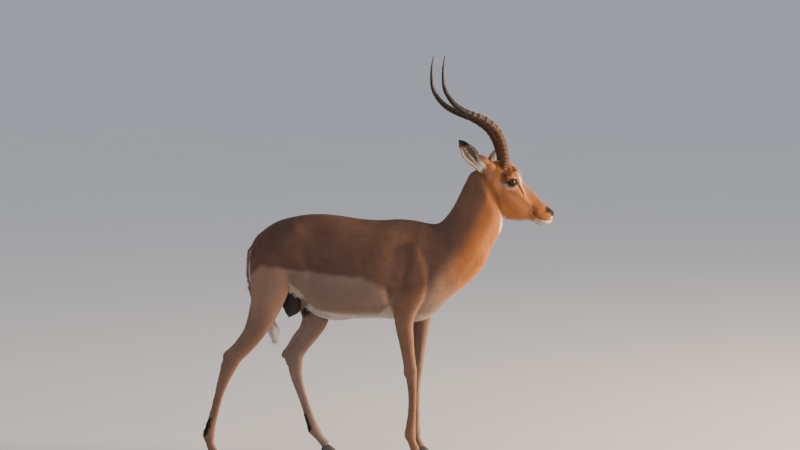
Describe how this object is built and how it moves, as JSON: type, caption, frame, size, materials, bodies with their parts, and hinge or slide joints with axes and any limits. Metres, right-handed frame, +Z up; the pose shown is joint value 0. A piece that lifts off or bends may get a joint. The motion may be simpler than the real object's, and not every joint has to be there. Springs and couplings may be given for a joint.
{
  "type": "impala antelope",
  "caption": "Adult male impala standing with its head up and its hind legs apart, a slender antelope with ringed lyre-shaped horns, as a life-size museum model.",
  "frame": {"origin": "centre of the bounding box on the floor", "axes": "+X the way the body points, +Y the animal's left side, +Z up"},
  "size_m": [1.2807, 0.3599, 1.4738],
  "materials": {
    "coat": "short close fur, rufous above, tan on the flanks and legs, white below",
    "dark_skin": "dark grey bare skin",
    "eye": "wet, nearly black",
    "horn": "ringed keratin, brown at the base and dark at the smooth tips",
    "hoof": "black keratin, slightly worn"
  },
  "bodies": {
    "root": {"trunk": "coat", "neck": "coat", "head": "coat", "ear_left": "coat", "ear_right": "coat", "tail": "coat", "foreleg_left": "coat", "foreleg_right": "coat", "hindleg_left": "coat", "hindleg_right": "coat", "scrotum": "dark_skin", "eye_left": "eye", "eye_right": "eye", "horn_left": "horn", "horn_right": "horn", "forehoof_left_inner": "hoof", "forehoof_left_outer": "hoof", "forehoof_right_inner": "hoof", "forehoof_right_outer": "hoof", "hindhoof_left_inner": "hoof", "hindhoof_left_outer": "hoof", "hindhoof_right_inner": "hoof", "hindhoof_right_outer": "hoof"}
  },
  "joints": []
}
